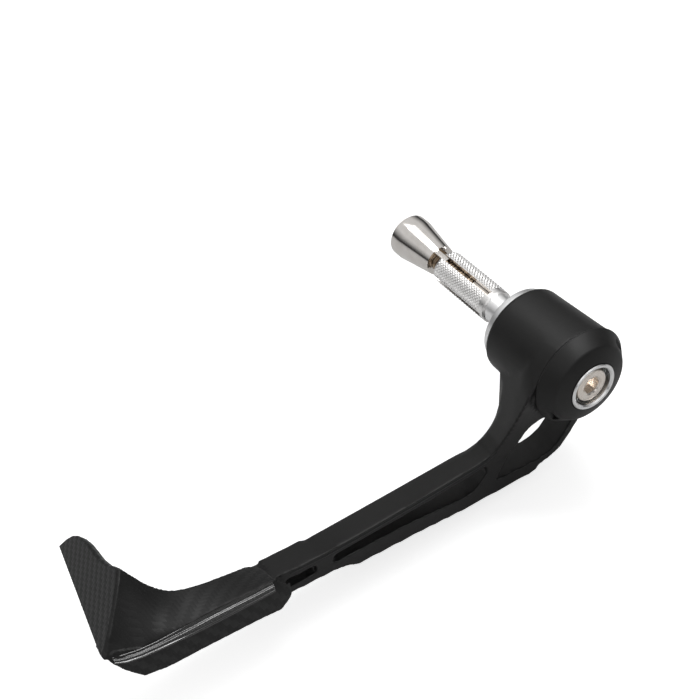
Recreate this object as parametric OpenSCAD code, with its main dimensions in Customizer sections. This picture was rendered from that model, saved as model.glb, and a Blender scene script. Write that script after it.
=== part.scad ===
// Bar-end lever guard with a split expander, left-hand form.
// Frame: X runs along the handlebar and points inboard, Y points forward
// along the arm, Z points up. The origin is on the bar axis, in the plane
// where the seat disc meets the end of the handlebar.

/* [Expander] */
// Outer diameter of the knurled split sleeve
sleeve_d = 13.7; // [13.3:0.1:14.5]
// Length of the knurled split sleeve
sleeve_len = 31; // [26:1:36]
// Chamfer at both ends of the sleeve
sleeve_chamfer = 0.8; // [0.4:0.1:1]
// Width of each slit in the sleeve
slit_w = 2.3; // [2:0.1:2.5]
// Length of the unslit ring at the root of the sleeve
sleeve_root = 2; // [1.5:0.5:4]
// Diameter of that ring, which isn't knurled
root_d = 13.3; // [12.8:0.1:13.6]
// Number of slits in the sleeve
slit_count = 4; // [2:1:4]
// Angle of the first slit from the top, forward when negative
slit_angle = -15; // [-45:5:45]
// Diameter of the neck between seat disc and sleeve
neck_d = 11.7; // [11:0.1:12.4]
// Length of the neck, from the bar end to the sleeve
neck_len = 11.5; // [8:0.5:16]
// Diameter of the disc that seats on the end of the handlebar
seat_d = 30; // [26:0.5:31]
// Thickness of the seat disc
seat_t = 6; // [5:0.5:8]
// How far the seat disc stands proud of the boss rim
seat_proud = 3.4; // [2:0.1:4]

/* [Wedge and bolt] */
// Nominal diameter of the clamp bolt
bolt_d = 8; // [7.8:0.1:8]
// Length of the clamp bolt under its head
bolt_len = 100; // [97:1:102]
// Pitch of the bolt thread
thread_pitch = 1.25; // [1:0.25:1.5]
// Length of the threaded end
thread_len = 41; // [38:1:45]
// Diameter of the bolt head
head_d = 13; // [12.6:0.1:13.2]
// Height of the bolt head
head_h = 8; // [7:0.5:8.5]
// Width across flats of the hexagon recess
hex_af = 6; // [5:0.5:6]
// Depth of the hexagon recess
hex_depth = 4; // [3:0.5:5]
// Small diameter of the wedge cone
cone_d1 = 12.2; // [11.6:0.1:12.6]
// Large diameter of the wedge cone
cone_d2 = 17.6; // [15:0.1:18]
// Whole length of the wedge cone
cone_len = 21.7; // [20:0.1:26]
// Length of the straight band at the large end
cone_band = 5; // [3:0.5:6]
// Gap between the sleeve end and the cone when the bolt is slack
wedge_gap = 4.4; // [4.2:0.1:5]
// Width of the key that reaches into the first slit
key_w = 1.9; // [1.5:0.1:2.1]
// Length of the key in front of the cone
key_len = 7; // [6:0.5:9]

/* [Boss] */
// Diameter of the boss at its inboard rim
rim_d = 34.2; // [33.6:0.1:34.6]
// Diameter of the boss where the end cap begins
boss_d = 37; // [36.4:0.1:37.4]
// Length of the boss from the rim to the end cap
boss_len = 30.5; // [30:0.1:31]
// Diameter of the bolt passage through the boss
passage_d = 9.5; // [9:0.1:11]

/* [End cap] */
// Largest diameter of the end cap
cap_d = 38; // [37.2:0.1:38.6]
// Straight edge of the cap before the bevel
cap_edge = 0.7; // [0.4:0.1:1.2]
// Length of the bevel along the axis
cap_bevel = 5.3; // [4.5:0.1:6]
// Diameter where the bevel meets the front face
cap_face_d = 30; // [28:0.5:32]
// Height of the shallow dome from there to the ring
cap_dome = 2; // [1:0.1:2.5]
// Distance of the two key slots in the cap's bevel from the axis
slot_r = 16.9; // [16:0.1:17.4]
// Width of each key slot
slot_w = 2; // [1.6:0.1:2.4]
// Length of each key slot
slot_len = 7; // [6:0.5:8]
// Depth of each key slot below the middle of the bevel
slot_depth = 1.3; // [0.8:0.1:2]
// Outer diameter of the collar ring
ring_d = 18.5; // [18:0.1:19.5]
// Inner diameter of the collar ring
ring_id = 15.2; // [14.8:0.1:15.6]
// Depth of the counterbore in the collar ring
ring_depth = 8.9; // [8.6:0.1:9.2]
// Floor thickness under the bolt head
ring_floor = 2.4; // [2:0.1:3]

/* [Arm] */
// Outboard face of the arm, measured from the rim
arm_out = 23.4; // [23:0.1:24.2]
// Inboard edge of the top flange, measured from the rim
arm_in_top = 11.2; // [10.6:0.1:11.8]
// Inboard edge of the bottom flange, measured from the rim
arm_in_low = 7.8; // [7.4:0.1:8.4]

/* [Tip] */
// Wall of the tip cover
cover_t = 1.7; // [1.5:0.1:1.9]
// Thickness of the tip blade
blade_t = 3.6; // [3.2:0.1:4]
// Length along the arm at which the cover starts
cover_start = 122; // [120:0.5:124]

/* [Hidden] */
$fn = 96;
// Angles of the cap's two key slots from the top
slot_angles = [66, -120];
fit = 0.03;
rim_x = -seat_proud;
joint_x = rim_x - boss_len;
sleeve_x = neck_len;
sleeve_end = sleeve_x + sleeve_len;
cone_x = sleeve_end + wedge_gap;
face_x = joint_x - cap_edge - cap_bevel;
ring_x = face_x - cap_dome - 0.4;
seat_x = ring_x + ring_depth;
head_x = seat_x - head_h;
shank_d = bolt_d - 0.1;
bolt_hole = bolt_d + 0.4;

// Rulings of the arm: they lean away from the bar axis as they run outboard.
lean_y = 0.2;
lean_z = 0.3;
lean = sqrt(1 + lean_y * lean_y + lean_z * lean_z);
dir_b = acos(lean_z / lean);
dir_c = atan2(lean_y, -1);
ea = [cos(dir_b) * cos(dir_c), cos(dir_b) * sin(dir_c), -sin(dir_b)];
eb = [-sin(dir_c), cos(dir_c), 0];
ed = [-1 / lean, lean_y / lean, lean_z / lean];
ref_x = rim_x - arm_out;

// Side outlines, as Y and Z in the outboard face of the arm
top_line = [[6, 17.2], [10.2, 15.4], [14.8, 11], [18, 5.5], [20, 0], [22, -5], [24.3, -10.2],
    [26.8, -15.8], [29.6, -21], [33, -24.6], [37.5, -25.9], [46, -26.2], [64, -26.7], [89, -27],
    [113, -26.2], [134, -22], [150, -12], [165, 6], [172, 6]];
low_line = [[172, -27], [166, -31], [158, -33.2], [140, -35], [117, -36.7], [110, -37.3], [102, -37.8],
    [98.2, -38.4], [94.5, -39.6], [91, -41.6], [82, -42.2], [65, -43.3], [47.6, -45], [30, -45.6],
    [16, -46.2], [13.4, -46], [11.5, -44.2], [6.4, -43.2], [1.7, -41.3], [-2.9, -36.6],
    [-6.6, -32.2], [-11, -26], [-14.6, -19], [-16.6, -11], [-17.2, -3], [0, 0]];
elbow_hole = [[21.4, -26.3], [20.2, -24.2], [18.6, -22], [16.2, -20.4], [12, -19.7], [6, -20.4],
    [0, -21.3], [-6, -20.6], [-11.5, -17.2], [-11.4, -19.5], [-8, -25], [-2.8, -31.4],
    [0.6, -35.6], [3.6, -38.6], [7.4, -40.3], [12, -40.9], [15.8, -40.6], [30.4, -39.4],
    [31, -38.6], [27.2, -32.4], [23.6, -27.6]];
long_hole = [[35.2, -29.4], [47, -29.8], [72, -30.7], [98.4, -30.5], [99.8, -31.2],
    [100.4, -33.2], [99.6, -34], [90, -34.4], [73, -35.4], [64, -36.3], [47, -38.7],
    [42, -38.8], [38.9, -36.6], [35, -32.6]];
tip_holes = [[[106.8, -30.3], [118, -29.3], [124.5, -33], [107.2, -33.8]],
    [[122, -28.9], [138.5, -27.5], [145, -31.2], [128.5, -32.6]],
    [[142.5, -27.2], [157, -26], [164, -29.4], [149, -30.9]]];

// Recess in the inboard edge of the bottom flange at the elbow, from above
elbow_scoop = [[-12.7, -4], [-12.7, 10], [-8, 17], [2, 17], [2, -8], [-8, -8]];

// Stations of the arm from the boss to the cover: inboard edge, ridge and
// outboard edge of the upper face, each as X from the rim, Y and Z
arm_rows = [
    [[-5, -26, 24], [-15, -26, 24], [-arm_out, -26, 24]],
    [[-5, -8, 16], [-22, -8, 17], [-28, -8, 17]],
    [[-5, 6, 15.5], [-26, 6, 17], [-30.5, 6, 17.4]],
    [[-6.4, 13, 10.5], [-25.2, 12.4, 13.6], [-30.5, 13.4, 12.8]],
    [[-8.8, 17, 0], [-23.4, 16.2, 9], [-30.5, 18, 5.8]],
    [[-12.5, 19, -6], [-21.4, 18.6, 3], [-30.3, 20.4, 2]],
    [[-15, 22, -10.5], [-20, 20.6, -4], [-29.8, 22.4, -2]],
    [[-14.8, 23.4, -16], [-18.8, 23, -9.5], [-28.6, 24.8, -7.8]],
    [[-14, 25.4, -21.5], [-17.6, 26.2, -16.4], [-26.8, 27.3, -14.6]],
    [[-12.8, 29.5, -27.2], [-16, 30, -23.6], [-24.8, 30.8, -21.8]],
    [[-11.8, 35, -30.2], [-14.5, 35, -28.2], [-23.7, 35.4, -25.3]],
    [[-arm_in_top, 42, -30.6], [-13.5, 42, -29.6], [-arm_out, 43, -26]],
    [[-arm_in_top, 64, -30.7], [-13.5, 64, -29.8], [-arm_out, 64, -26.7]],
    [[-arm_in_top, 90, -30.7], [-13.5, 90, -29.9], [-arm_out, 90, -27]],
    [[-arm_in_top, 100, -30.6], [-13.5, 100, -29.8], [-arm_out, 100, -26.7]],
    [[-arm_in_top, 104, -30.6], [-13.5, 104, -29.8], [-arm_out, 104, -26.6]],
    [[-arm_in_top + 0.7, 106, -30.3], [-13.2, 106, -29.2], [-arm_out, 106, -26.5]],
    [[-arm_in_top + 0.6, 110, -30], [-13.2, 110, -29], [-arm_out, 110, -26]],
    [[-arm_in_top + 0.5, 122, -29], [-13.4, 122, -28.1], [-arm_out, 122, -24.8]],
    [[-arm_in_top, 126, -28.4], [-13.4, 126, -27.4], [-arm_out, 126, -24.2]]];

// Stations of the cover: lip, inboard edge, outboard edge, band and skirt
cover_rows = [
    [[-11, 118, -31.4], [-11.4, 118, -28.8], [-25.4, 118, -23.2], [-27.2, 118, -26.2],
        [-27.4, 118, -36.4]],
    [[-11.2, 124, -30.6], [-11.6, 124, -27.8], [-25.7, 124, -22.4], [-27.4, 124, -25.8],
        [-27.6, 124, -36.2]],
    [[-12.2, 131, -28.2], [-12.6, 131, -25.2], [-26, 131, -21.6], [-27.6, 131, -25.4],
        [-27.7, 131, -35.2]],
    [[-13.4, 139, -25.2], [-13.8, 139, -22], [-26, 139, -20.8], [-27.6, 139, -25],
        [-27.7, 139, -34.5]],
    [[-14, 147, -22.8], [-14.2, 147, -19.4], [-26, 147, -20.1], [-27.6, 147, -24.5],
        [-27.7, 147, -33.8]],
    [[-13.2, 155, -20.2], [-13.4, 155, -16.2], [-26, 155, -19.8], [-27.6, 155, -23.9],
        [-27.7, 155, -33.2]],
    [[-11.6, 161, -15.2], [-11.6, 161, -10.2], [-26, 161, -19.6], [-27.6, 161, -23],
        [-27.7, 161, -32.9]],
    [[-9, 166.5, -7.6], [-9, 166.5, -1.6], [-26, 167, -19.3], [-27.5, 167, -22.3],
        [-27.6, 167, -32.3]],
    [[-6.2, 175, 1.4], [-6.2, 175, 7.8], [-25.8, 175, -18.4], [-27.2, 175, -21.2],
        [-27.2, 175, -30.6]],
    [[-5, 181, 6.6], [-5, 181, 13], [-25.3, 181, -16.4], [-26.4, 181, -19.2],
        [-26.4, 181, -28.6]],
    [[-4, 188, 14.6], [-4, 188, 21], [-25, 188, -14], [-25.8, 188, -16.4],
        [-25.8, 188, -26.4]]];

// Plane of the front of the blade and the blade's outline on it
blade_b = 53.06;
blade_c = 73.13;
blade_n = [sin(blade_b) * cos(blade_c), sin(blade_b) * sin(blade_c), cos(blade_b)];
blade_ea = [cos(blade_b) * cos(blade_c), cos(blade_b) * sin(blade_c), -sin(blade_b)];
blade_eb = [-sin(blade_c), cos(blade_c), 0];
blade_off = 126;
blade_at = blade_off + blade_n[0] * rim_x;
blade_line = [[-21.9, 184.6, -16.8], [35.6, 175.2, -27.1], [35.8, 174.6, -26.1], [33.2, 172.2, -22.2],
    [30.6, 170.7, -19.2], [27.4, 169.7, -16.9], [23.4, 169.2, -14.6], [18, 169, -12.2],
    [6, 169.2, -8.1], [-1, 168.8, -5], [-5, 168, -2.4], [-8.6, 167.6, -0.8], [-12, 169.8, -2.4],
    [-17.1, 174.4, -6.8], [-22, 179, -11.6], [-24.4, 182.4, -15.6], [-25.2, 184.6, -15.6]];

// Corner between the blade, the band and the skirt
nose = [[-25.6, 180.4, -15.6], [-23.6, 183.2, -17.4], [-17.6, 183.4, -18.4], [-26.8, 176, -21.6],
    [-27, 173.2, -30.2], [-23, 178.6, -27.8], [-19, 180.6, -23], [-26, 170, -20.4],
    [-26.8, 168, -31.6]];
// The core stops short of that corner
nose_y = 167;
nose_x = -27.1;
// Front end of the skirt and start of the cover, seen from the side and above
skirt_end = [[90, -60], [168, -60], [173.3, -31.6], [176, -28.3], [179.2, -24], [182.2, -18.6],
    [185.8, -9.9], [187, -8], [192, 40], [90, 40]];
skirt_start = [[118.6, -60], [118.6, -31.2], [119.8, -33.2], [121.4, -34.8], [124.6, -36.6],
    [124.6, -60]];
cover_edge = [[-40, 118.4], [-27.2, 119], [-25.7, 123.6], [-18, 123.4], [-14.6, 124.2], [-12.4, 126.4],
    [-11.6, 129.4], [-8, 131], [-8, 100], [-40, 100]];

// Position of a point of the outboard face in the ruled frame
function ruled(p) = [[ref_x, p[0], p[1]] * ea, [ref_x, p[0], p[1]] * eb];
function outline(ps) = [for (p = ps) ruled(p)];

// Smooth curve through four points
function spline(a, b, c, d, t) = ((2 * b) + (c - a) * t + (2 * a - 5 * b + 4 * c - d) * t * t
    + (3 * b - a - 3 * c + d) * t * t * t) / 2;
function row_at(rows, i, j) = rows[max(0, min(len(rows) - 1, i))][j];
function smooth(rows, steps) = [for (i = [0:len(rows) - 2]) for (s = [0:steps - 1])
    [for (j = [0:len(rows[0]) - 1]) spline(row_at(rows, i - 1, j), row_at(rows, i, j),
        row_at(rows, i + 1, j), row_at(rows, i + 2, j), s / steps)],
    rows[len(rows) - 1]];

// Solid through closed rows of points, each row a ring around the solid
module loft(rows) {
    m = len(rows[0]);
    n = len(rows);
    sides = [for (i = [0:n - 2]) for (j = [0:m - 1]) for (k = [0, 1])
        k == 0 ? [i * m + j, i * m + (j + 1) % m, (i + 1) * m + (j + 1) % m]
            : [i * m + j, (i + 1) * m + (j + 1) % m, (i + 1) * m + j]];
    first = [for (j = [1:m - 2]) [0, j + 1, j]];
    last = [for (j = [1:m - 2]) [(n - 1) * m, (n - 1) * m + j, (n - 1) * m + j + 1]];
    polyhedron(points = [for (r = rows) for (p = r) p], faces = concat(sides, first, last));
}

// Solid prism with its sides along the rulings of the arm
module prism(ps) {
    rotate([0, dir_b, dir_c]) translate([0, 0, [ref_x, 60, -30] * ed - 60]) linear_extrude(120)
        polygon(outline(ps));
}

// Solid of revolution about the bar axis, from pairs of radius and X
module turned(profile) {
    rotate([90, 0, 90]) rotate_extrude() polygon(profile);
}

module along_x(x0, x1, d) {
    translate([x0, 0, 0]) rotate([0, 90, 0]) cylinder(d = d, h = x1 - x0);
}

// Space behind a plane parallel to the front of the blade
module behind(at) {
    rotate([0, blade_b, blade_c]) translate([-300, -300, at - 400]) cube([600, 600, 400]);
}

// Outline moved inwards by a distance
function inset(ps, d) = [for (i = [0:len(ps) - 1]) let (n = len(ps), t = ps[(i + 1) % n] - ps[(i + n - 1) % n])
    ps[i] + [t[1], -t[0]] * d / norm(t)];

function inner(r) = [r[1] + [cover_t * 0.4, 0, -cover_t * 1.1], r[2] + [cover_t * 0.6, 0, -cover_t],
    r[3] + [cover_t, 0, -cover_t * 0.4], r[4] + [cover_t, 0, 0]];
function lip(r) = r[0] + [-cover_t * 0.8, 0, 0];

cover_smooth = smooth(cover_rows, 4);
arm_smooth = smooth(arm_rows, 3);

// Inboard edge of the bottom flange at a place along the arm
function low_edge(y) = -arm_in_low + max(0, min(1.8, (75 - y) * 0.03));

// Outer limits of the arm up to the cover
module arm_limits() {
    translate([rim_x, 0, 0]) loft([for (r = arm_smooth) let (x = low_edge(r[0][1]))
        [[x, r[0][1], -60], [x, r[0][1], -41], r[0], r[1], r[2],
            [-arm_out, r[2][1], min(-29, r[2][2] - 3)], [-arm_out, r[2][1], -60]]]);
}

// Outer limits of the arm inside the cover
module core_limits() {
    intersection() {
        translate([rim_x, 0, 0]) loft([for (r = cover_smooth) let (q = inner(r))
            [[-arm_in_low, r[0][1], -60], [-arm_in_low, r[0][1], -40], [q[0][0] + 0.8, r[0][1], r[0][2] - 0.6],
                q[0], q[1], q[2] + [0.15, 0, -0.1], q[3] + [0.15, 0, 0],
                [q[3][0] + 0.15, r[0][1], -60]]]);
        behind(blade_at - blade_t);
        translate([0, -1.4, 0.8]) side_prism(skirt_end);
        translate([-60, cover_start, -80]) cube([80, 50, 160]);
    }
}

module guard_arm() {
    color([0.13, 0.13, 0.135]) difference() {
        union() {
            difference() {
                union() {
                    intersection() {
                        prism(concat(top_line, low_line));
                        arm_limits();
                        translate([-60, -40, -80]) cube([80, 40 + cover_start, 160]);
                    }
                    difference() {
                        intersection() {
                            prism(concat(top_line, low_line));
                            core_limits();
                        }
                        translate([-60, nose_y - 0.1, -80]) cube([60 + nose_x, 40, 160]);
                    }
                }
                prism(elbow_hole);
                prism(long_hole);
                translate([0, 0, -60]) linear_extrude(22) polygon(elbow_scoop);
                for (h = tip_holes) prism(h);
            }
            turned([[0, rim_x], [rim_d / 2 - 0.8, rim_x], [rim_d / 2, rim_x - 0.8],
                [rim_d / 2 + 0.5, rim_x - 12], [boss_d / 2, joint_x], [0, joint_x]]);
        }
        along_x(joint_x - 1, rim_x + 1, passage_d);
        along_x(rim_x - (seat_t - seat_proud), rim_x + 1, seat_d + 0.1);
        along_x(joint_x - 1, seat_x + ring_floor, ring_d);
    }
}

// Blade with its edges eased at the front and bevelled at the back
module blade() {
    flat = [for (p = blade_line) [p * blade_ea, p * blade_eb]];
    rings = [[blade_t, 1.8], [blade_t - 0.9, 0.4], [0.7, 0], [0, 0.6]];
    rotate([0, blade_b, blade_c]) loft([for (k = rings) [for (p = inset(flat, k[1]))
        [p[0], p[1], blade_off - k[0]]]]);
}

module side_prism(ps) {
    rotate([90, 0, 90]) translate([0, 0, -60]) linear_extrude(120) polygon(ps);
}

module tip_cover() {
    color([0.17, 0.17, 0.175]) translate([rim_x, 0, 0]) union() {
        difference() {
            intersection() {
                loft([for (r = cover_smooth) let (q = inner(r))
                    [r[0], r[1], r[2], r[3], r[4], q[3], q[2], q[1], q[0], lip(r)]]);
                translate([-rim_x, 0, 0]) behind(blade_at - 0.5);
                side_prism(skirt_end);
            }
            side_prism(skirt_start);
            translate([0, 0, -50]) linear_extrude(80) polygon(cover_edge);
        }
        blade();
        intersection() {
            hull() for (p = nose) translate(p) sphere(0.5, $fn = 16);
            translate([-rim_x, 0, 0]) behind(blade_at - 0.3);
        }
    }
}

module end_cap() {
    color([0.1, 0.1, 0.105]) difference() {
        turned([[0, joint_x], [boss_d / 2, joint_x], [cap_d / 2, joint_x - 0.2],
            [cap_d / 2, joint_x - cap_edge], [cap_face_d / 2, face_x],
            [ring_d / 2, face_x - cap_dome], [0, face_x - cap_dome]]);
        along_x(face_x - cap_dome - 1, joint_x + 1, ring_d);
        for (a = slot_angles) rotate([a, 0, 0])
            translate([face_x - 2, -slot_len / 2, slot_r - slot_w / 2])
                cube([2 + slot_depth + (slot_r - cap_face_d / 2) * cap_bevel / (cap_d - cap_face_d) * 2,
                    slot_len, slot_w]);
    }
}

module collar_ring() {
    color([0.8, 0.8, 0.82]) difference() {
        along_x(ring_x, seat_x + ring_floor, ring_d);
        along_x(ring_x - 1, seat_x, ring_id);
        along_x(seat_x - 1, seat_x + ring_floor + 1, bolt_hole);
    }
}

module clamp_bolt() {
    color([0.78, 0.75, 0.68]) difference() {
        union() {
            turned([[0, head_x], [head_d / 2 - 0.6, head_x], [head_d / 2, head_x + 0.6],
                [head_d / 2, seat_x], [0, seat_x]]);
            along_x(seat_x - 1, seat_x + bolt_len, shank_d);
        }
        translate([head_x - 1, 0, 0]) rotate([0, 90, 0])
            cylinder(d = hex_af / cos(30), h = hex_depth + 1, $fn = 6);
    }
}

module seat_disc() {
    color([0.82, 0.82, 0.82]) difference() {
        union() {
            turned([[0, -seat_t], [seat_d / 2, -seat_t], [seat_d / 2, -0.6], [seat_d / 2 - 0.6, 0],
                [0, 0]]);
            along_x(-1, neck_len, neck_d);
        }
        along_x(-seat_t - 1, neck_len + 1, bolt_hole);
    }
}

module expander_sleeve() {
    color([0.8, 0.8, 0.8]) difference() {
        turned([[0, sleeve_x], [root_d / 2 - 0.4, sleeve_x], [root_d / 2, sleeve_x + 0.4],
            [root_d / 2, sleeve_x + sleeve_root + 0.5], [sleeve_d / 2, sleeve_x + sleeve_root + 0.5],
            [sleeve_d / 2, sleeve_end - sleeve_chamfer],
            [sleeve_d / 2 - sleeve_chamfer, sleeve_end], [0, sleeve_end]]);
        along_x(sleeve_x - 1, sleeve_end + 1, bolt_hole);
        turned([[0, sleeve_end - 14], [bolt_hole / 2, sleeve_end - 14],
            [cone_d1 / 2 - 0.5, sleeve_end + 0.1], [0, sleeve_end + 0.1]]);
        for (i = [0:slit_count - 1]) rotate([slit_angle + i * 360 / slit_count, 0, 0])
            translate([sleeve_x + sleeve_root, -slit_w / 2, 0]) cube([sleeve_len, slit_w, 20]);
    }
}

module wedge_cone() {
    color([0.75, 0.73, 0.7]) difference() {
        union() {
            turned([[0, cone_x], [cone_d1 / 2, cone_x], [cone_d2 / 2, cone_x + cone_len - cone_band],
                [cone_d2 / 2, cone_x + cone_len - 1], [cone_d2 / 2 - 1, cone_x + cone_len],
                [0, cone_x + cone_len]]);
            intersection() {
                rotate([slit_angle, 0, 0]) translate([cone_x - key_len, -key_w / 2, 0])
                    cube([key_len + 3, key_w, 20]);
                along_x(cone_x - key_len, cone_x + 3, cone_d1 - 0.6);
            }
        }
        along_x(cone_x - key_len - 1, cone_x + cone_len + 1, bolt_d);
    }
}

guard_arm();
tip_cover();
end_cap();
collar_ring();
clamp_bolt();
seat_disc();
expander_sleeve();
wedge_cone();
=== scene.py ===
# %% [markdown]
# # A bar-end guard for a brake or clutch lever
# The guard is a black moulded arm on a round boss, with a cover in a carbon weave over
# its front end. Under the boss a bright expander goes into the handlebar. The measured
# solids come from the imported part, in metres, and every piece below is placed by them.

# %% Load the measured solids
import math

import bmesh
import bpy
import numpy as np
from mathutils import Matrix, Vector
from mathutils.kdtree import KDTree


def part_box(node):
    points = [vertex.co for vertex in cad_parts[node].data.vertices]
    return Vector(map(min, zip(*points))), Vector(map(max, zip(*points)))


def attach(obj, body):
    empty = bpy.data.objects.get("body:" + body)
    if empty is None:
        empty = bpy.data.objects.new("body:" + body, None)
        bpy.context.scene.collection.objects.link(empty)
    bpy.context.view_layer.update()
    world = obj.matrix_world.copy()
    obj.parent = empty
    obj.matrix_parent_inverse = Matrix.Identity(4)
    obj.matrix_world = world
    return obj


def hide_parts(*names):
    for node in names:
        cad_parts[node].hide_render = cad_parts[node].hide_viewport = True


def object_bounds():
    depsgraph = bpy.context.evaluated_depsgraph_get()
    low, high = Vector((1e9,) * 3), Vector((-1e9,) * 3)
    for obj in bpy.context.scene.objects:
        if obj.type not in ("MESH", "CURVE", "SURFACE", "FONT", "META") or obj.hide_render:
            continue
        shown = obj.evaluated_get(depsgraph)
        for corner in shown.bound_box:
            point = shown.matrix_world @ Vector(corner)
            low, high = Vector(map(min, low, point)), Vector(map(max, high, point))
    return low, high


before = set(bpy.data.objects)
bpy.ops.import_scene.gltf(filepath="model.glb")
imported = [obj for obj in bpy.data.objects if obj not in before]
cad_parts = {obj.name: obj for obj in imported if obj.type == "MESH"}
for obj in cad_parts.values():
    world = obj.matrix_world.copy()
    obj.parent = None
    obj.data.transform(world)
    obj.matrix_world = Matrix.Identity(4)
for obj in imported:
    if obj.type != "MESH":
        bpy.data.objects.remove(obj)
solid_box = [list(corner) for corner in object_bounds()]
MM = 0.001
print("solids:", sorted(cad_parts))

# %% [markdown]
# ## The camera
# The camera stands where the photograph was taken from: in front of the boss, half a
# metre away and well above it. A camera can be aimed with a Track To constraint, but
# here its three axes are known, so they go into its matrix as columns.

# %% Camera at the photograph's angle
camera_right = Vector((-0.539908, -0.836101, -0.097126))
camera_up = Vector((0.514112, -0.418930, 0.748456))
camera_data = bpy.data.cameras.new("photo_camera")
camera = bpy.data.objects.new("photo_camera", camera_data)
bpy.context.scene.collection.objects.link(camera)
axes = Matrix((camera_right, camera_up, camera_right.cross(camera_up))).transposed()
camera.matrix_world = Matrix.Translation((-0.30212, 0.23322, 0.33922)) @ axes.to_4x4()
camera_data.sensor_width = 36
camera_data.lens = 72.04
camera_data.shift_x = 0.0181
camera_data.shift_y = -0.0410
camera_data.clip_start = 0.01
bpy.context.scene.camera = camera
print("camera looks along", tuple(round(v, 3) for v in -camera_right.cross(camera_up)))

# %% [markdown]
# ## Small helpers for nodes
# Materials and Geometry Nodes are both trees of nodes. One helper adds a node with its
# settings and wires or values, and a second adds a maths node, so that the trees below
# read like sums. A socket is named by its label or, where labels repeat, by its number:
# 0, 2 and 3 are the share and the two values of a float Mix, and 0, 6 and 7 those of a
# colour Mix.

# %% Helpers that add nodes
def put(tree, kind, inputs=None, **settings):
    node = tree.nodes.new(kind)
    for key, value in settings.items():
        setattr(node, key, value)
    for key, value in (inputs or {}).items():
        if isinstance(value, bpy.types.NodeSocket):
            tree.links.new(value, node.inputs[key])
        else:
            node.inputs[key].default_value = value
    return node


def sums(tree, operation, *values):
    return put(tree, "ShaderNodeMath", dict(enumerate(values)), operation=operation).outputs[0]


def blend_colours(tree, share, first, second):
    mix = put(tree, "ShaderNodeMix", {0: share, 6: first, 7: second}, data_type="RGBA")
    return mix.outputs[2]


def grey(value, warmth=0.0):
    return (value * (1 + warmth), value, value * (1 - warmth), 1)


print("helpers for nodes: put, sums, blend_colours, grey")

# %% [markdown]
# ## Moulded nylon
# The arm, the boss and the cap are black nylon from a mould. Real moulded nylon has a
# fine grain that spreads its highlights, and its gloss varies a little from place to
# place. An image could carry the grain, but noise in Object coordinates has no seams
# and keeps its scale in metres, so that is used.

# %% Nylon for the arm and the cap
def start_finish(name):
    material = bpy.data.materials.new(name)
    material.use_nodes = True
    tree = material.node_tree
    shader = tree.nodes["Principled BSDF"]
    place = tree.nodes.new("ShaderNodeTexCoord").outputs["Object"]
    return material, tree, shader, place


def noise(tree, place, scale, detail=2.0, rough=0.5):
    node = put(tree, "ShaderNodeTexNoise",
               {"Vector": place, "Scale": scale, "Detail": detail, "Roughness": rough})
    return node.outputs["Fac"]


def spread(tree, value, low, high, start=0.3, end=0.7):
    node = put(tree, "ShaderNodeMapRange", {"Value": value, "From Min": start,
               "From Max": end, "To Min": low, "To Max": high})
    return node.outputs["Result"]


def bump(tree, height, strength, distance, under=None):
    inputs = {"Height": height, "Strength": strength, "Distance": distance}
    if under is not None:
        inputs["Normal"] = under
    return put(tree, "ShaderNodeBump", inputs).outputs["Normal"]


def moulded_nylon(name, tone, gloss):
    material, tree, shader, place = start_finish(name)
    cloud = noise(tree, place, scale=45, detail=3)
    grain = noise(tree, place, scale=2600, rough=0.6)
    flow = noise(tree, place, scale=300)
    colour = blend_colours(tree, spread(tree, cloud, 0, 1), grey(tone * 0.85, 0.01),
                           grey(tone * 1.15, 0.02))
    tree.links.new(colour, shader.inputs["Base Color"])
    tree.links.new(spread(tree, cloud, gloss, gloss + 0.1), shader.inputs["Roughness"])
    swell = bump(tree, flow, strength=0.12, distance=0.0002)
    surface = bump(tree, grain, strength=0.35, distance=0.00006, under=swell)
    tree.links.new(surface, shader.inputs["Normal"])
    shader.inputs["Specular IOR Level"].default_value = 0.3
    return material


arm_nylon = moulded_nylon("arm_nylon", tone=0.009, gloss=0.4)
cap_nylon = moulded_nylon("cap_nylon", tone=0.008, gloss=0.4)
print("nylon:", arm_nylon.name, cap_nylon.name)

# %% [markdown]
# ## The carbon weave
# The cover carries a two-by-two twill: each dark band of fibres passes over two and
# under two, one step further in each row, which draws the stair pattern. The bands of one
# direction are given a paler tone where they lie on top, and that tone is painted sheen:
# the fibres are all one black, and these bands look paler only by the light they catch.
# The weave is sums on two directions that lie in the cover's own face. Floor gives the
# band that a point is in, Modulo of their sum says which band is on top there, and the
# sine across a band gives it a rounded back for the bump.

# %% Twill for the cover
weave_across = Vector((0.9400, -0.1128, -0.3220)).normalized()
weave_normal = Vector((0.341, 0.331, 0.880)).normalized()
weave_along = weave_normal.cross(weave_across).normalized()
TWILL_REPEAT = 4.0
FIBRES, FIBRE_LENGTH = 9.0, 0.7


def along(tree, place, direction, scale):
    node = put(tree, "ShaderNodeVectorMath", {0: place, 1: tuple(direction * scale)},
               operation="DOT_PRODUCT")
    return node.outputs["Value"]


def fibres(tree, over, down):
    stretched = put(tree, "ShaderNodeCombineXYZ", {0: sums(tree, "MULTIPLY", over, FIBRES),
                    1: sums(tree, "MULTIPLY", down, FIBRE_LENGTH)}).outputs[0]
    return noise(tree, stretched, scale=1)


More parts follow.
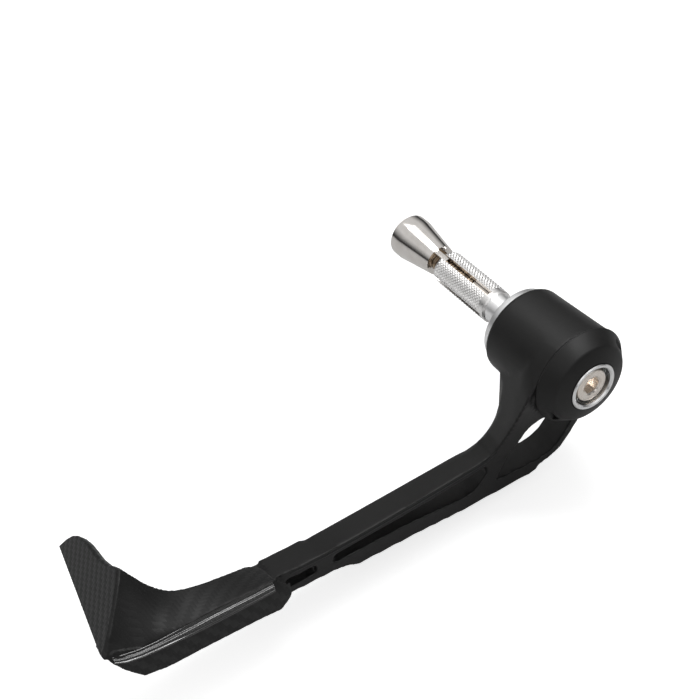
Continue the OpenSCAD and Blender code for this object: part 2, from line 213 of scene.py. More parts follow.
def twill_weave(name, band, dark, sheen_pale):
    material, tree, shader, place = start_finish(name)
    u = along(tree, place, weave_across, 1 / band)
    v = along(tree, place, weave_along, 1 / band)
    step = sums(tree, "ADD", sums(tree, "FLOOR", u), sums(tree, "FLOOR", v))
    on_top = sums(tree, "LESS_THAN", sums(tree, "FLOORED_MODULO", step, TWILL_REPEAT), 1.5)
    back_u = sums(tree, "ABSOLUTE", sums(tree, "SINE", sums(tree, "MULTIPLY", u, math.pi)))
    back_v = sums(tree, "ABSOLUTE", sums(tree, "SINE", sums(tree, "MULTIPLY", v, math.pi)))
    back = put(tree, "ShaderNodeMix", {0: on_top, 2: back_v, 3: back_u}).outputs[0]
    fibre_u, fibre_v = fibres(tree, u, v), fibres(tree, v, u)
    fibre = put(tree, "ShaderNodeMix", {0: on_top, 2: fibre_v, 3: fibre_u}).outputs[0]
    # Where on_top is 1 the colour is the paler tone. That tone is painted sheen, laid over the
    # weave's real pattern on fibres that are all one black.
    bands = blend_colours(tree, on_top, grey(dark), grey(sheen_pale))
    colour = blend_colours(tree, spread(tree, fibre, 0, 0.55), bands, grey(dark * 0.8))
    tree.links.new(colour, shader.inputs["Base Color"])
    tree.links.new(put(tree, "ShaderNodeMix", {0: on_top, 2: 0.5, 3: 0.42}).outputs[0],
                   shader.inputs["Roughness"])
    shader.inputs["Specular IOR Level"].default_value = 0.28
    rounded = bump(tree, back, strength=0.28, distance=0.0001)
    surface = bump(tree, fibre, strength=0.12, distance=0.00005, under=rounded)
    tree.links.new(surface, shader.inputs["Normal"])
    return material


# The pale tone is painted sheen on the weave, not a second colour of fibre.
cover_carbon = twill_weave("cover_carbon", band=0.0012, dark=0.007, sheen_pale=0.014)
print("weave bands are 1.2 mm wide:", cover_carbon.name)

# %% [markdown]
# ## Gloss black
# A narrow bead along the cover's outer edge is polished in the mould, so it shows the
# studio lamps as a bright line. It is the nylon again with a low roughness and hardly
# any grain.

# %% Gloss black for the bead
def gloss_black(name):
    material, tree, shader, place = start_finish(name)
    cloud = noise(tree, place, scale=120)
    colour = blend_colours(tree, cloud, grey(0.006), grey(0.009))
    tree.links.new(colour, shader.inputs["Base Color"])
    tree.links.new(spread(tree, cloud, 0.17, 0.23), shader.inputs["Roughness"])
    shader.inputs["Coat Weight"].default_value = 1.0
    shader.inputs["Coat Roughness"].default_value = 0.12
    ripple = noise(tree, place, scale=400, detail=1)
    tree.links.new(bump(tree, ripple, strength=0.02, distance=0.00003),
                   shader.inputs["Normal"])
    return material


bead_black = gloss_black("bead_black")
print("gloss:", bead_black.name)

# %% [markdown]
# ## Turned and plated metal
# The ring, the disc, the bolt and the wedge are turned on a lathe, which leaves fine
# rings round the bar axis. A noise that reads only the distance along that axis and the
# distance from it makes such rings on a face and on a barrel alike, with no seam. Each
# metal has its tone, its warmth and the lowest and highest roughness of its rings.

# %% Metals for the turned pieces
def turned_metal(name, tone, warmth, low, high, ring_bump, ring_scale=2600):
    material, tree, shader, place = start_finish(name)
    parts = put(tree, "ShaderNodeSeparateXYZ", {0: place})
    squares = sums(tree, "ADD", sums(tree, "MULTIPLY", parts.outputs[1], parts.outputs[1]),
                   sums(tree, "MULTIPLY", parts.outputs[2], parts.outputs[2]))
    radius = sums(tree, "SQRT", squares)
    rings = put(tree, "ShaderNodeCombineXYZ", {0: parts.outputs[0], 1: radius}).outputs[0]
    lines = noise(tree, rings, scale=ring_scale, detail=3, rough=0.6)
    stain = noise(tree, place, scale=260, detail=3)
    colour = blend_colours(tree, spread(tree, stain, 0, 1), grey(tone, warmth),
                           grey(tone * 0.88, warmth * 1.4))
    tree.links.new(colour, shader.inputs["Base Color"])
    shader.inputs["Metallic"].default_value = 1.0
    tree.links.new(spread(tree, lines, low, high), shader.inputs["Roughness"])
    worn = bump(tree, stain, strength=0.05, distance=0.0001)
    surface = bump(tree, lines, strength=ring_bump, distance=0.00003, under=worn)
    tree.links.new(surface, shader.inputs["Normal"])
    return material


ring_aluminium = turned_metal("ring_aluminium", 0.86, 0.0, low=0.2, high=0.32, ring_bump=0.3)
bolt_steel = turned_metal("bolt_steel", 0.8, 0.07, low=0.2, high=0.34, ring_bump=0.25)
thread_brown = turned_metal("thread_brown", 0.42, 0.22, low=0.25, high=0.42, ring_bump=0.2)
seat_aluminium = turned_metal("seat_aluminium", 0.96, 0.0, low=0.3, high=0.42, ring_bump=0.3)
sleeve_aluminium = turned_metal("sleeve_aluminium", 0.92, 0.01, low=0.24, high=0.36,
                                ring_bump=0.05)
cone_nickel = turned_metal("cone_nickel", 0.74, 0.035, low=0.08, high=0.15, ring_bump=0.1,
                           ring_scale=1500)
print("metals:", ring_aluminium.name, bolt_steel.name, thread_brown.name,
      seat_aluminium.name, sleeve_aluminium.name, cone_nickel.name)

# %% [markdown]
# ## Pieces from the solids
# The arm, the cover, the sleeve and the wedge start as a copy of their measured solid,
# with its loose triangles joined and its flat ones merged. The others are made again
# from outlines, because a mesh laid in even rings shades better.

# %% Helpers for pieces
def show(piece, node, body, slot, *materials):
    piece.data.materials.clear()
    for material in materials:
        piece.data.materials.append(material)
    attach(piece, body)
    if node:
        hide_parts(node)
    print(piece.name, len(piece.data.polygons), "faces")
    return piece


def new_piece(name, mesh):
    piece = bpy.data.objects.new(name, mesh)
    bpy.context.scene.collection.objects.link(piece)
    return piece


def settle(piece):
    bpy.context.view_layer.update()
    seen = piece.evaluated_get(bpy.context.evaluated_depsgraph_get())
    mesh = bpy.data.meshes.new_from_object(seen)
    piece.modifiers.clear()
    piece.data = mesh
    return piece


def shade(piece, angle):
    for name in ("custom_normal", "sharp_face"):
        if name in piece.data.attributes:
            piece.data.attributes.remove(piece.data.attributes[name])
    piece.data.shade_smooth()
    piece.data.set_sharp_from_angle(angle=math.radians(angle))
    return piece


def copy_solid(node, name, merge, flat):
    work = bmesh.new()
    work.from_mesh(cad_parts[node].data)
    bmesh.ops.remove_doubles(work, verts=work.verts, dist=merge * MM)
    bmesh.ops.dissolve_limit(work, angle_limit=math.radians(flat), verts=work.verts,
                             edges=work.edges)
    mesh = bpy.data.meshes.new(name)
    work.to_mesh(mesh)
    work.free()
    return new_piece(name, mesh)


print("helpers for pieces: show, new_piece, settle, shade, copy_solid")

# %% [markdown]
# ## Soft moulded edges
# A mould leaves every edge of the nylon slightly round. A Bevel could round them, but it
# makes spikes where many narrow faces meet, as they do on these free-form shapes. So the
# solid is remeshed into small even squares, and the points are then smoothed: a step
# towards the neighbours and a nearly equal step back, which rounds an edge and hardly
# shrinks the piece. Away from the sharp edges more steps follow. To tell how far a
# point is from them, markers are laid along every edge of the solid that turns by more
# than a given angle, and the nearest one is looked up.

# %% Helpers for moulded pieces
EDGE_SPACING = 0.4
STEP_TOWARDS, STEP_BACK = 0.5, -0.52


def sharp_points(piece, angle, spacing):
    work = bmesh.new()
    work.from_mesh(piece.data)
    found = []
    for edge in work.edges:
        if len(edge.link_faces) == 2 and edge.calc_face_angle(0) > math.radians(angle):
            a, b = (vert.co for vert in edge.verts)
            count = max(1, math.ceil((b - a).length / (spacing * MM)))
            found += [a.lerp(b, k / count) for k in range(count + 1)]
    work.free()
    tree = KDTree(len(found))
    for k, point in enumerate(found):
        tree.insert(point, k)
    tree.balance()
    return tree


def moulded(piece, voxel, near_steps, far_steps, near, back, angle):
    edges = sharp_points(piece, angle, EDGE_SPACING)
    even = piece.modifiers.new("even", "REMESH")
    even.mode, even.voxel_size = "VOXEL", voxel * MM
    settle(piece)
    mesh = piece.data
    count = len(mesh.vertices)
    points = np.empty(count * 3)
    mesh.vertices.foreach_get("co", points)
    points = points.reshape(-1, 3)
    pairs = np.empty(len(mesh.edges) * 2, dtype=int)
    mesh.edges.foreach_get("vertices", pairs)
    a, b = pairs[::2], pairs[1::2]
    ends, others = np.concatenate((a, b)), np.concatenate((b, a))
    number = np.bincount(ends, minlength=count)[:, None]
    far = np.array([edges.find(point)[2] for point in points]) > near * MM
    for step in range(far_steps):
        early = step < near_steps
        moving = np.ones(count) if early else far.astype(float)
        for share in (STEP_TOWARDS, STEP_BACK if early else back):
            if share == 0:
                continue
            mean = np.stack([np.bincount(ends, points[others, k], count) for k in range(3)], 1)
            points = points + (mean / number - points) * share * moving[:, None]
    mesh.vertices.foreach_set("co", points.ravel())
    mesh.update()
    return piece


print("helpers for moulded pieces: sharp_points, moulded")

# %% [markdown]
# ## The arm
# The arm and the boss are one moulding, of round boss, swept elbow and slotted beam. It
# could be modelled again from curves, but the measured solid has every opening already,
# so its copy is moulded. Its squares are 0.57 mm wide, because finer ones would take it
# over 200,000 triangles.

# %% The arm
arm = moulded(copy_solid("guard_arm", "moulded_arm", merge=0.01, flat=0.5), voxel=0.57,
              near_steps=9, far_steps=60, near=0.9, back=-0.46, angle=28)
show(shade(arm, 60), "guard_arm", "guard", "arm_nylon", arm_nylon)

# %% [markdown]
# ## The cover
# The cover is a thin shell over the arm's front end, with a crease where the blade turns
# in front of the lever. Its broad faces are even sheets, which show every small wave in
# the weave. So here the far steps aren't taken back: they stretch a face like a skin
# between its edges. The sharp angle is wider, which leaves the facets out.

# %% The cover
cover = moulded(copy_solid("tip_cover", "carbon_cover", merge=0.01, flat=0.5), voxel=0.34,
                near_steps=9, far_steps=240, near=0.5, back=0, angle=42)
show(shade(cover, 60), "tip_cover", "guard", "cover_carbon", cover_carbon)

# %% [markdown]
# ## Turned pieces
# A turned piece is one outline spun round the bar axis. The Screw modifier could spin
# it, but rings of points made in code can also be a hexagon where a key goes in, so one
# helper makes them all. It takes the outline as pairs of X and radius in millimetres
# and joins each ring to the next. A second helper rounds an outline's corners first,
# for the cap, whose corners aren't drawn with chamfers of their own.

# %% Helper that turns an outline
TURN = 96


def eased(outline, radius, steps=3):
    points = [outline[0]]
    for before, here, after in zip(outline, outline[1:], outline[2:]):
        here = Vector(here)
        back, on = Vector(before) - here, Vector(after) - here
        reach = min(radius, back.length * 0.45, on.length * 0.45)
        start, end = here + back.normalized() * reach, here + on.normalized() * reach
        for i in range(steps + 1):
            t = i / steps
            points.append(tuple(start * (1 - t) ** 2 + here * 2 * t * (1 - t) + end * t * t))
    return points + [outline[-1]]


def hexagon(flats, angle):
    return flats / 2 / math.cos((angle % (math.pi / 3)) - math.pi / 6)


def turned(name, outline, hollow=False, flats=None):
    rows = []
    for i, (x, radius) in enumerate(outline):
        row = []
        for k in range(TURN):
            angle = 2 * math.pi * k / TURN
            r = hexagon(flats[i], angle) if flats and flats[i] else radius
            row.append((x * MM, r * math.cos(angle) * MM, r * math.sin(angle) * MM))
        rows.append(row)
    count = len(rows)
    faces = []
    for i in range(count if hollow else count - 1):
        for k in range(TURN):
            a, b = i * TURN, ((i + 1) % count) * TURN
            n = (k + 1) % TURN
            faces.append((a + k, a + n, b + n, b + k))
    if not hollow:
        faces.append(tuple(range(TURN))[::-1])
        faces.append(tuple(range((count - 1) * TURN, count * TURN)))
    mesh = bpy.data.meshes.new(name)
    mesh.from_pydata([p for row in rows for p in row], [], faces)
    work = bmesh.new()
    work.from_mesh(mesh)
    bmesh.ops.recalc_face_normals(work, faces=work.faces)
    work.to_mesh(mesh)
    work.free()
    return new_piece(name, mesh)


print("helpers for turned pieces: eased, hexagon, turned")

# %% [markdown]
# ## The end cap
# The cap closes the boss. Its bevel has two short moulded slots for a pin key, one on
# each side. They are cut from the turned cap by a Boolean, with cutters that follow the
# cap's own curve.

# %% The end cap with its two slots
CAP_RADIUS, CAP_HOLE, CAP_EDGE = 19, 9.25, 0.7
SLOT_RADIUS, SLOT_SPAN = 16.9, 24
SLOT_PLACES = (156, -32)
SLOT_STEPS = 12

cap_low, cap_high = (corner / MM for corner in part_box("end_cap"))
joint_x, face_x, dome_x = cap_high.x, cap_low.x + 2, cap_low.x
cap_outline = [(joint_x, CAP_HOLE), (joint_x, 18.5), (joint_x - 0.25, CAP_RADIUS),
               (joint_x - 0.7, CAP_RADIUS), (face_x, 15), (dome_x, CAP_HOLE)]
cap_edges = eased(cap_outline[1:] + [cap_outline[0]], CAP_EDGE)[1:-1]
cap = turned("end_cap_piece", [cap_outline[0]] + cap_edges + [(dome_x, CAP_HOLE)], hollow=True)


def slot_cutter(name, middle, span):
    work = bmesh.new()
    rings = []
    for k in range(SLOT_STEPS + 1):
        angle = math.radians(middle + span * (k / SLOT_STEPS - 0.5))
        end = 1 - max(0, abs(k - SLOT_STEPS / 2) - 4.5) * 0.45
        outer, inner = SLOT_RADIUS + end, SLOT_RADIUS - end
        front, bottom = face_x - 3, face_x + 3.7
        ring = [work.verts.new((x * MM, r * math.cos(angle) * MM, r * math.sin(angle) * MM))
                for x, r in ((front, inner), (front, outer), (bottom, outer), (bottom, inner))]
        rings.append(ring)
    for a, b in zip(rings, rings[1:]):
        for i in range(4):
            work.faces.new((a[i], a[(i + 1) % 4], b[(i + 1) % 4], b[i]))
    work.faces.new(rings[0])
    work.faces.new(rings[-1][::-1])
    bmesh.ops.recalc_face_normals(work, faces=work.faces)
    mesh = bpy.data.meshes.new(name)
    work.to_mesh(mesh)
    work.free()
    return new_piece(name, mesh)


for middle in SLOT_PLACES:
    cutter = slot_cutter("slot_cutter", middle, SLOT_SPAN)
    cut = cap.modifiers.new("slot", "BOOLEAN")
    cut.operation, cut.object, cut.solver = "DIFFERENCE", cutter, "EXACT"
    settle(cap)
    bpy.data.objects.remove(cutter)
show(shade(cap, 30), "end_cap", "guard", "cap_nylon", cap_nylon)

# %% [markdown]
# ## The ring
# A bright aluminium ring lines the hole in the cap, with a counterbore for the bolt's
# head. It is one closed outline turned, like the real one, and the outline's own small
# chamfers catch the light, so it needs no bevel.

# %% The ring
RING_RADIUS, COUNTERBORE, BOLT_HOLE = 9.24, 7.6, 4.2
HEAD_HEIGHT = 8

ring_low, ring_high = (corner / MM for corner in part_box("collar_ring"))
bolt_low, bolt_high = (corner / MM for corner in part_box("clamp_bolt"))
seat_x = bolt_low.x + HEAD_HEIGHT
ring_outline = [(ring_low.x, 8.4), (ring_low.x, 8.95), (ring_low.x + 0.3, RING_RADIUS),
                (ring_high.x, RING_RADIUS), (ring_high.x, BOLT_HOLE), (seat_x, BOLT_HOLE),
                (seat_x, COUNTERBORE), (ring_low.x + 0.5, COUNTERBORE), (ring_low.x, 8.1)]
ring = turned("lining_ring", ring_outline, hollow=True)
show(shade(ring, 30), "collar_ring", "guard", "ring_aluminium", ring_aluminium)

# %% [markdown]
# ## The bolt's head and shank
# The bolt is a socket head cap screw of stainless steel, 8 mm thick. One outline turned
# makes the head, the shank and the thinner core under the thread. The recess for the
# key could be cut by a Boolean, but here the first three rings of the outline are
# hexagons, which gives a clean recess with no cut faces.

# %% The bolt's head and shank
HEAD_RADIUS, CORE_RADIUS, KEY = 6.5, 3.3, 6
THREADED = 41

head_x = bolt_low.x
thread_start = bolt_high.x - THREADED
bolt_outline = [(head_x + 4, 0.3), (head_x + 4, 3), (head_x + 0.5, 3), (head_x, 3.9),
                (head_x, 5.6), (head_x + 0.25, 6.15), (head_x + 0.9, HEAD_RADIUS),
                (seat_x - 0.3, HEAD_RADIUS), (seat_x, 6.3), (seat_x, 4),
                (thread_start - 1, 3.95), (thread_start, CORE_RADIUS),
                (bolt_high.x - 0.6, CORE_RADIUS), (bolt_high.x, 2.8)]
recess = [0.6, KEY, KEY] + [None] * (len(bolt_outline) - 3)
bolt = turned("clamp_bolt_piece", bolt_outline, flats=recess)
show(shade(bolt, 30), "clamp_bolt", "bolt", "bolt_steel", bolt_steel)

# %% [markdown]
# ## Trees that grow a piece
# The thread and the knurl repeat, so Geometry Nodes lay them. Both trees start with their
# named inputs and end alike, with real geometry in the piece's own material.

# %% Helper that runs a tree and keeps its mesh
def start_tree(name, sizes):
    tree = bpy.data.node_groups.new(name, "GeometryNodeTree")
    tree.interface.new_socket("Geometry", in_out="OUTPUT", socket_type="NodeSocketGeometry")
    for label, kind in sizes:
        tree.interface.new_socket(label, in_out="INPUT", socket_type="NodeSocket" + kind)
    return tree, tree.nodes.new("NodeGroupInput").outputs


def end_tree(tree, geometry, material):
    real = put(tree, "GeometryNodeRealizeInstances", {0: geometry}).outputs[0]
    painted = put(tree, "GeometryNodeSetMaterial", {"Geometry": real, "Material": material})
    put(tree, "NodeGroupOutput", {0: painted.outputs[0]})


def grow(name, tree, values):
    piece = new_piece(name, bpy.data.meshes.new(name))
    modifier = piece.modifiers.new("grow", "NODES")
    modifier.node_group = tree
    for item in tree.interface.items_tree:
        if item.in_out == "INPUT" and item.name in values:
            modifier[item.identifier] = values[item.name]
    return settle(piece)


print("helpers for trees: start_tree, end_tree, grow")

# %% [markdown]
# ## The thread's tree
# A thread is one ridge wound along a helix. A Screw modifier could wind it, but as a tree
# it keeps its sizes as inputs: a Spiral curve gives the path, a small four-sided outline
# gives the ridge, and Curve to Mesh joins them. The spiral stands along Z, so it is
# turned to lie along X.

# %% The thread's tree
tree, given = start_tree("thread", [("Start", "Float"), ("Length", "Float"), ("Pitch", "Float"),
                                    ("Radius", "Float"), ("Depth", "Float"),
                                    ("Material", "Material")])
turns = sums(tree, "DIVIDE", given["Length"], given["Pitch"])
path = put(tree, "GeometryNodeCurveSpiral", {"Resolution": 28, "Rotations": turns,
           "Start Radius": given["Radius"], "End Radius": given["Radius"],
           "Height": given["Length"]}).outputs[0]
ridge = put(tree, "GeometryNodeCurvePrimitiveCircle", {"Resolution": 4,
            "Radius": given["Depth"]}).outputs[0]
wound = put(tree, "GeometryNodeCurveToMesh", {0: path, 1: ridge}).outputs[0]
move = put(tree, "ShaderNodeCombineXYZ", {0: given["Start"]}).outputs[0]
laid = put(tree, "GeometryNodeTransform", {"Geometry": wound, "Translation": move,
           "Rotation": (0, math.pi / 2, 0)}).outputs[0]
end_tree(tree, laid, given["Material"])
print("thread tree:", len(tree.nodes), "nodes")

# %% [markdown]
# ## The thread on the bolt
# The bolt shows through the slits of the sleeve, where it looks brown. The ridge is wound
# round the bolt's thinner core with the pitch of an M8 thread, 1.25 mm, and turns with
# the bolt. The solid has only a plain cylinder here, so this piece replaces none.

# %% The thread on the bolt
thread = grow("bolt_thread", tree, {"Start": thread_start * MM, "Length": 40.4 * MM,
              "Pitch": 1.25 * MM, "Radius": 3.42 * MM, "Depth": 0.52 * MM,
              "Material": thread_brown})
show(shade(thread, 25), None, "bolt", "bolt_steel", thread_brown)

# %% [markdown]
# ## The seat disc
# The disc stands between the handlebar's end and the boss, on a short neck. It is one
# turned outline with the bolt's hole through it, and not a copy of the solid, so that
# its rim has a fine round edge.

# %% The seat disc and its neck
DISC_BACK, DISC_RADIUS = -6, 15
NECK_END, NECK_RADIUS = 11.5, 5.85

seat_outline = [(DISC_BACK, BOLT_HOLE), (DISC_BACK, 14.7), (DISC_BACK + 0.3, DISC_RADIUS),
                (-0.6, DISC_RADIUS), (-0.25, 14.85), (0, 14.5), (0, 6.3), (0.4, NECK_RADIUS),
                (NECK_END, NECK_RADIUS), (NECK_END, BOLT_HOLE)]
seat = turned("seat_disc_piece", seat_outline, hollow=True)
show(shade(seat, 30), "seat_disc", "expander", "seat_aluminium", seat_aluminium)

# %% [markdown]
# ## The split sleeve
# The sleeve grips the inside of the handlebar. It is split by four slits and its skin
# is pressed into small diamonds, the knurl. The skin of the copied solid is taken in by
# a quarter of a millimetre, and the diamonds stand on it up to the measured size. The
# sleeve's inside and its smooth foot stay as they are.

# %% The sleeve's body
SLEEVE_RADIUS = 6.85
KNURL, KNURL_SINK = 0.26, 0.02
SKIN_START, SKIN_RADIUS = 13.8, 6.7

sleeve = copy_solid("expander_sleeve", "split_sleeve", merge=0.01, flat=1.0)
for point in sleeve.data.vertices:
    radius = math.hypot(point.co.y, point.co.z)
    if radius > SKIN_RADIUS * MM and point.co.x > SKIN_START * MM:
        point.co.y *= 1 - KNURL * MM / radius
        point.co.z *= 1 - KNURL * MM / radius
show(shade(sleeve, 30), "expander_sleeve", "expander", "sleeve_aluminium", sleeve_aluminium)

# %% [markdown]
# ## The knurl's tree
# The diamonds repeat in rows round the sleeve, each row half a step on from the last.
# Geometry Nodes lays a grid of points, rolls it into a cylinder with sines and cosines,
# takes out the points that fall in a slit, and puts a four-sided pyramid on each one.

# %% The knurl's tree
tree, given = start_tree("knurl", [("Start", "Float"), ("Length", "Float"), ("Radius", "Float"),
                                   ("Around", "Int"), ("Rows", "Int"), ("Height", "Float"),
                                   ("Slit Half Width", "Float"), ("Slits", "Float"),
                                   ("Slit Angle", "Float"), ("Material", "Material")])
row_step = sums(tree, "DIVIDE", given["Length"], sums(tree, "SUBTRACT", given["Rows"], 1))
turn_step = sums(tree, "DIVIDE", 2 * math.pi, given["Around"])
grid = put(tree, "GeometryNodeMeshGrid", {"Vertices X": given["Rows"],
           "Vertices Y": given["Around"]}).outputs[0]
index = tree.nodes.new("GeometryNodeInputIndex").outputs[0]
row = sums(tree, "FLOOR", sums(tree, "DIVIDE", sums(tree, "ADD", index, 0.5), given["Around"]))
place_in_row = sums(tree, "SUBTRACT", index, sums(tree, "MULTIPLY", row, given["Around"]))
shift = sums(tree, "MULTIPLY", sums(tree, "FLOORED_MODULO", row, 2), 0.5)
angle = sums(tree, "MULTIPLY", sums(tree, "ADD", place_in_row, shift), turn_step)
x = sums(tree, "ADD", given["Start"], sums(tree, "MULTIPLY", row, row_step))
y = sums(tree, "MULTIPLY", sums(tree, "SINE", angle), sums(tree, "MULTIPLY", given["Radius"], -1))
z = sums(tree, "MULTIPLY", sums(tree, "COSINE", angle), given["Radius"])
rolled = put(tree, "GeometryNodeSetPosition", {"Geometry": grid, "Position": put(
    tree, "ShaderNodeCombineXYZ", {0: x, 1: y, 2: z}).outputs[0]}).outputs[0]
slit_turn = sums(tree, "DIVIDE", 2 * math.pi, given["Slits"])
past_slit = sums(tree, "SUBTRACT", angle, given["Slit Angle"])
from_slit = sums(tree, "ABSOLUTE", sums(tree, "WRAP", past_slit, sums(
    tree, "MULTIPLY", slit_turn, 0.5), sums(tree, "MULTIPLY", slit_turn, -0.5)))
in_slit = sums(tree, "LESS_THAN", sums(tree, "MULTIPLY", from_slit, given["Radius"]),
               given["Slit Half Width"])
turn = put(tree, "ShaderNodeCombineXYZ", {0: angle}).outputs[0]
kept = put(tree, "GeometryNodeCaptureAttribute", {"Geometry": rolled})
kept.capture_items.new("VECTOR", "turn")
tree.links.new(turn, kept.inputs[1])
open_rows = put(tree, "GeometryNodeDeleteGeometry", {"Geometry": kept.outputs[0],
                "Selection": in_slit}, domain="POINT").outputs[0]
pyramid = put(tree, "GeometryNodeMeshCone", {"Vertices": 4, "Radius Bottom": 1.0,
              "Radius Top": 0.16, "Depth": 1.0}, fill_type="NGON").outputs[0]
wide = sums(tree, "MULTIPLY", sums(tree, "MULTIPLY", turn_step, given["Radius"]), 0.47)
size = put(tree, "ShaderNodeCombineXYZ", {0: sums(tree, "MULTIPLY", row_step, 0.94), 1: wide,
           2: given["Height"]}).outputs[0]
studs = put(tree, "GeometryNodeInstanceOnPoints", {"Points": open_rows, "Instance": pyramid,
            "Rotation": kept.outputs[1], "Scale": size}).outputs[0]
end_tree(tree, studs, given["Material"])
print("knurl tree:", len(tree.nodes), "nodes")

# %% [markdown]
# ## The knurl on the sleeve
# Real knurling is pressed in by a wheel. A bump map could hint at it, but on bright metal
# its outline and its sparkle show, so the diamonds are real. They stand clear of the
# four slits, one of which lies 15 degrees from the top.

# %% The knurl on the sleeve
knurl = grow("sleeve_knurl", tree, {"Start": 15.2 * MM, "Length": 25.9 * MM,
             "Radius": (SLEEVE_RADIUS - KNURL - KNURL_SINK) * MM, "Around": 30, "Rows": 36,
             "Height": KNURL * MM, "Slit Half Width": 1.65 * MM, "Slits": 4.0,
             "Slit Angle": math.radians(-15), "Material": sleeve_aluminium})
show(shade(knurl, 10), None, "expander", "sleeve_aluminium", sleeve_aluminium)

# %% [markdown]
# ## The wedge
# The wedge is the nickel-plated cone that the bolt draws into the sleeve. Its thin keys
# run in the slits. The solid's shape is right and plated metal has crisp edges, so a
# copy that is shaded smooth between its sharp edges is enough.

# %% The wedge cone
cone = copy_solid("wedge_cone", "wedge_cone_piece", merge=0.01, flat=0.5)
show(shade(cone, 30), "wedge_cone", "wedge", "cone_nickel", cone_nickel)

# %% [markdown]
# ## The gloss bead
# The bead along the cover's outer edge is a narrow crowned strip between two grooves and
# two fine raised lines. It follows the cover's edge, so its outline, given as places
# across the strip and heights over it, is swept through stations measured on the cover.
# Each station is a Y and then the X and Z of the strip's upper and lower side. A curve
# with a bevel could make it too, but it would twist where the edge turns.

# %% The bead along the cover's edge
STRIP_DEPTH = 0.8

bead_stations = [(124.6, -29.25, -22.6, -30.85, -26.0), (131, -29.4, -21.9, -31.0, -25.6),
                 (139, -29.4, -21.1, -31.0, -25.2), (147, -29.4, -20.4, -31.0, -24.7),
                 (155, -29.4, -20.1, -31.0, -24.1), (161, -29.4, -19.9, -31.0, -23.2),
                 (167, -29.4, -19.6, -30.95, -22.5), (173, -29.3, -18.9, -30.75, -21.7),
                 (178, -29.0, -17.6, -30.3, -20.6), (181.5, -28.6, -16.8, -29.6, -19.0)]
bead_outline = [(0, 0), (0.05, 0.1), (0.1, 0.12), (0.15, 0.06), (0.2, -0.1), (0.27, -0.14),
                (0.33, -0.02), (0.39, 0.24), (0.45, 0.4), (0.5, 0.44), (0.55, 0.4), (0.61, 0.24),
                (0.67, -0.02), (0.73, -0.14), (0.8, -0.1), (0.85, 0.06), (0.9, 0.12), (0.95, 0.1),
                (1, 0)]


def swept_strip(name, stations, outline, lift):
    points, faces = [], []
    for y, x0, z0, x1, z1 in stations:
        a, b = Vector((x0, y, z0)), Vector((x1, y, z1))
        out = Vector((-(z0 - z1), 0, (x0 - x1))).normalized()
        for t, height in outline:
            points.append((a.lerp(b, t) + out * (height + lift)) * MM)
        points.append((a.lerp(b, 0.5) - out * STRIP_DEPTH) * MM)
    ring = len(outline) + 1
    for s in range(len(stations) - 1):
        for i in range(ring):
            n = (i + 1) % ring
            faces.append((s * ring + i, s * ring + n, (s + 1) * ring + n, (s + 1) * ring + i))
    faces.append(tuple(range(ring)))
    faces.append(tuple(range(len(points) - ring, len(points)))[::-1])
    mesh = bpy.data.meshes.new(name)
    mesh.from_pydata(points, [], faces)
    work = bmesh.new()
    work.from_mesh(mesh)
    bmesh.ops.recalc_face_normals(work, faces=work.faces)
    work.to_mesh(mesh)
    work.free()
    return new_piece(name, mesh)


bead = swept_strip("gloss_bead", bead_stations, bead_outline, lift=0.3)
show(shade(bead, 60), None, "guard", "cover_carbon", bead_black)

# %% [markdown]
# ## The raised line on the arm
# A fine raised line runs along the outboard face of the arm, just under its top edge,
# and catches the light. It is the same kind of strip, low and plain, in the arm's nylon.

# %% The line under the arm's top edge
line_stations = [(31.5, -28.1, -22.9, -28.0, -24.2), (35.4, -27.1, -26.2, -27.0, -27.4),
                 (43, -26.7, -27.0, -26.7, -28.2), (64, -26.7, -27.7, -26.7, -28.9),
                 (90, -26.7, -28.0, -26.7, -29.2), (104, -26.7, -27.6, -26.7, -28.8),
                 (117, -26.7, -26.3, -26.7, -27.5)]
line_outline = [(0, 0), (0.15, 0.2), (0.35, 0.3), (0.65, 0.3), (0.85, 0.2), (1, 0)]
line = swept_strip("arm_line", line_stations, line_outline, lift=0.0)
show(shade(line, 60), None, "guard", "arm_nylon", arm_nylon)

# %% [markdown]
# ## The floor
# The photograph is a catalogue shot on white: the surroundings are white and the object
# throws a soft shadow. The floor is a pale sheet half a millimetre under the object. To
# the camera it also glows a little, so that it shows white and keeps the shadow, while
# the light that it sends up to the black underside stays low.

# %% The floor
FLOOR_REACH, FLOOR_GAP = 3.0, 0.0005
FLOOR_TONE, FLOOR_GLOW = 0.82, 0.72

low, high = (Vector(corner) for corner in solid_box)
centre = (low + high) / 2
sheet = bpy.data.meshes.new("floor")
sheet.from_pydata([(centre.x + sx * FLOOR_REACH, centre.y + sy * FLOOR_REACH,
                    low.z - FLOOR_GAP) for sx, sy in ((-1, -1), (1, -1), (1, 1), (-1, 1))],
                  [], [(0, 1, 2, 3)])
floor = new_piece("floor", sheet)
paper, tree, shader, place = start_finish("paper_white")
shader.inputs["Base Color"].default_value = grey(FLOOR_TONE)
shader.inputs["Roughness"].default_value = 0.9
rays = tree.nodes.new("ShaderNodeLightPath").outputs
shader.inputs["Emission Color"].default_value = grey(1)
tree.links.new(sums(tree, "MULTIPLY", rays["Is Camera Ray"], FLOOR_GLOW),
               shader.inputs["Emission Strength"])
floor.data.materials.append(paper)
print("floor:", floor.name, "at Z", round((low.z - FLOOR_GAP) / MM, 2), "mm")

# %% [markdown]
# ## The lamps
# Large soft lamps suit black nylon, where nearly all that shows is their reflection. A
# key softbox stands overhead and two weak ones fill the front and the side. A narrow
# strip draws the long highlights on the boss and the bright streaks on the metal. It is
# left out of diffuse light, so it adds no second shadow.

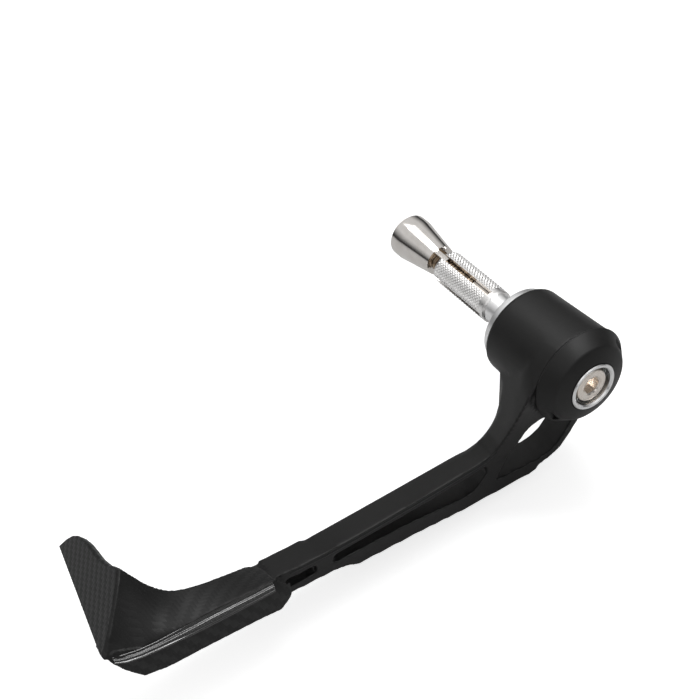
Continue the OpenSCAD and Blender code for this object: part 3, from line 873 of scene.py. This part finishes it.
# %% The lamps
def softbox(name, position, width, height, watts):
    lamp = bpy.data.lights.new(name, "AREA")
    lamp.shape, lamp.size, lamp.size_y, lamp.energy = "RECTANGLE", width, height, watts
    holder = bpy.data.objects.new(name, lamp)
    holder.location = position
    holder.rotation_euler = (centre - Vector(position)).to_track_quat("-Z", "Y").to_euler()
    bpy.context.scene.collection.objects.link(holder)
    return holder


strip = softbox("strip", centre + Vector((-0.48, -0.32, 0.69)), width=0.6, height=0.1,
                watts=2.6)
strip.visible_diffuse = False
softbox("key", centre + Vector((0.25, -0.15, 0.85)), width=0.7, height=0.5, watts=3.2)
softbox("front", centre + Vector((-0.75, 0.35, 0.35)), width=0.5, height=0.5, watts=0.5)
softbox("side", centre + Vector((0.1, 0.9, 0.35)), width=0.6, height=0.3, watts=0.6)
print("lamps:", len(bpy.data.lights))

# %% [markdown]
# ## The world
# The world is plain white behind the object. As light it is dimmer, and in reflections it
# is dark near the horizon and paler overhead, like a studio with a bright ceiling, which
# gives the rounded metal its dark and light bands. Light paths tell these uses apart.

# %% The world
WORLD_LIGHT = 0.34
HORIZON, CEILING = 0.05, 0.75

world = bpy.data.worlds.new("studio")
bpy.context.scene.world = world
world.use_nodes = True
tree = world.node_tree
rays = tree.nodes.new("ShaderNodeLightPath").outputs
straight = sums(tree, "MAXIMUM", rays["Is Camera Ray"], rays["Is Transmission Ray"])
direction = tree.nodes.new("ShaderNodeTexCoord").outputs["Generated"]
way = put(tree, "ShaderNodeSeparateXYZ", {0: direction})
overhead = spread(tree, way.outputs[2], HORIZON, CEILING, start=0.15, end=0.6)
level = put(tree, "ShaderNodeMix", {0: rays["Is Glossy Ray"], 2: WORLD_LIGHT,
            3: overhead}).outputs[0]
level = put(tree, "ShaderNodeMix", {0: straight, 2: level, 3: 1.0}).outputs[0]
backdrop = tree.nodes["Background"]
backdrop.inputs["Color"].default_value = grey(1)
tree.links.new(level, backdrop.inputs["Strength"])
bpy.context.scene.view_settings.view_transform = "Standard"
print("world:", world.name, "with the Standard view")
